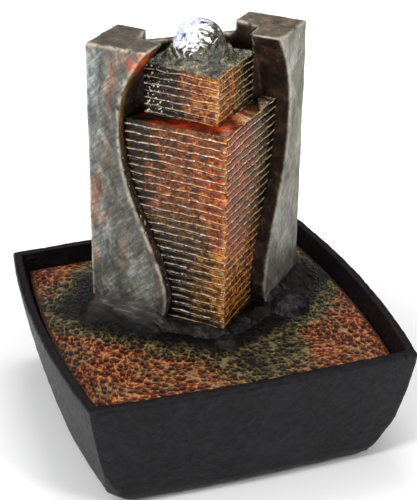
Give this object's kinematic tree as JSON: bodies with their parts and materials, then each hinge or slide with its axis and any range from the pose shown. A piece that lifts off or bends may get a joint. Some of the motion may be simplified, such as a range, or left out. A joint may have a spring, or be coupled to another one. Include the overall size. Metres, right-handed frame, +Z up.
{
  "type": "tabletop water fountain",
  "caption": "Tabletop fountain: bowed square slate bowl, split pewter monolith around a ribbed copper column, glass ball on top, hidden lift-out pump.",
  "frame": {"origin": "middle of the footprint, on the surface the feet stand on", "axes": "+Z up, -Y towards the front, where the column's corner points, +X to the right"},
  "size_m": [0.2158, 0.2078, 0.2535],
  "materials": {
    "slate_resin": "near-black slate-textured cast polyresin",
    "foot_rubber": "matt",
    "pump_plastic": "moulded, fine texture",
    "core_steel": "stacked laminations",
    "coil_wire": "enamelled copper winding",
    "potting_resin": "poured epoxy",
    "shaft_ceramic": "ground",
    "bush_rubber": "matt",
    "seal_silicone": "satin",
    "rotor_ferrite": "sintered",
    "impeller_plastic": "satin",
    "filter_foam": "open-cell foam",
    "regulator_plastic": "satin",
    "rust_resin": "hammered rust and copper patina, dark where wet",
    "bumper_silicone": "satin",
    "rock_resin": "rough black rock, wet",
    "pewter_resin": "brushed pewter patina with rust blushes",
    "copper_resin": "copper patina on stacked-slate ribs, wet",
    "dish_resin": "dark grey-green, wet",
    "cup_acrylic": "clear",
    "nozzle_plastic": "satin",
    "hose_pvc": "clear flexible",
    "lamp_plastic": "satin",
    "board_laminate": "solder mask",
    "led_epoxy": "cast dome",
    "lead_sheath": "satin",
    "screw_steel": "stainless",
    "ball_glass": "polished clear"
  },
  "bodies": {
    "basin": {"basin_shell": "slate_resin", "foot_pads": "foot_rubber", "cord_grommet": "bush_rubber", "pump_housing": "pump_plastic", "stator_core": "core_steel", "stator_coil": "coil_wire", "potting_plug": "potting_resin", "rotor_shaft": "shaft_ceramic", "rear_bush": "bush_rubber", "front_bush": "bush_rubber", "volute": "pump_plastic", "volute_seal": "seal_silicone", "suction_cups": "bush_rubber", "cable_gland": "bush_rubber"},
    "impeller": {"rotor_magnet": "rotor_ferrite", "impeller_wheel": "impeller_plastic"},
    "intake": {"intake_cover": "pump_plastic", "filter_sponge": "filter_foam"},
    "regulator": {"flow_regulator": "regulator_plastic"},
    "insert": {"deck": "rust_resin", "deck_bumpers": "bumper_silicone", "rock_plinth": "rock_resin", "monolith": "pewter_resin", "column_lower": "copper_resin", "column_upper": "copper_resin", "spout_dish": "dish_resin", "ball_cup": "cup_acrylic", "spout_nozzle": "nozzle_plastic", "delivery_hose": "hose_pvc", "hose_clips": "pump_plastic", "lamp_housing": "lamp_plastic", "lamp_board": "board_laminate", "lamp_leds": "led_epoxy", "lamp_lens": "cup_acrylic", "lamp_seal": "seal_silicone", "lamp_lead": "lead_sheath", "lead_connector": "lamp_plastic", "connector_clip": "pump_plastic", "deck_screws": "screw_steel"},
    "ball": {"glass_ball": "ball_glass"}
  },
  "joints": [
    {"name": "impeller_spin", "type": "hinge", "parent": "basin", "child": "impeller", "pos_m": [0.0046, 0.0236, 0.027], "axis": [0, 1, 0], "continuous": true},
    {"name": "intake_pull", "type": "slide", "parent": "basin", "child": "intake", "axis": [0, -1, 0], "range_m": [0, 0.018]},
    {"name": "regulator_turn", "type": "hinge", "parent": "intake", "child": "regulator", "pos_m": [0.0046, 0.0016, 0.027], "axis": [0, 1, 0], "range_deg": [0, 22.5]},
    {"name": "insert_lift", "type": "slide", "parent": "basin", "child": "insert", "axis": [0, 0, 1], "range_m": [0, 0.08]},
    {"name": "ball_roll", "type": "hinge", "parent": "insert", "child": "ball", "pos_m": [0.0046, 0.0236, 0.2375], "axis": [1, 0, 0], "continuous": true}
  ]
}
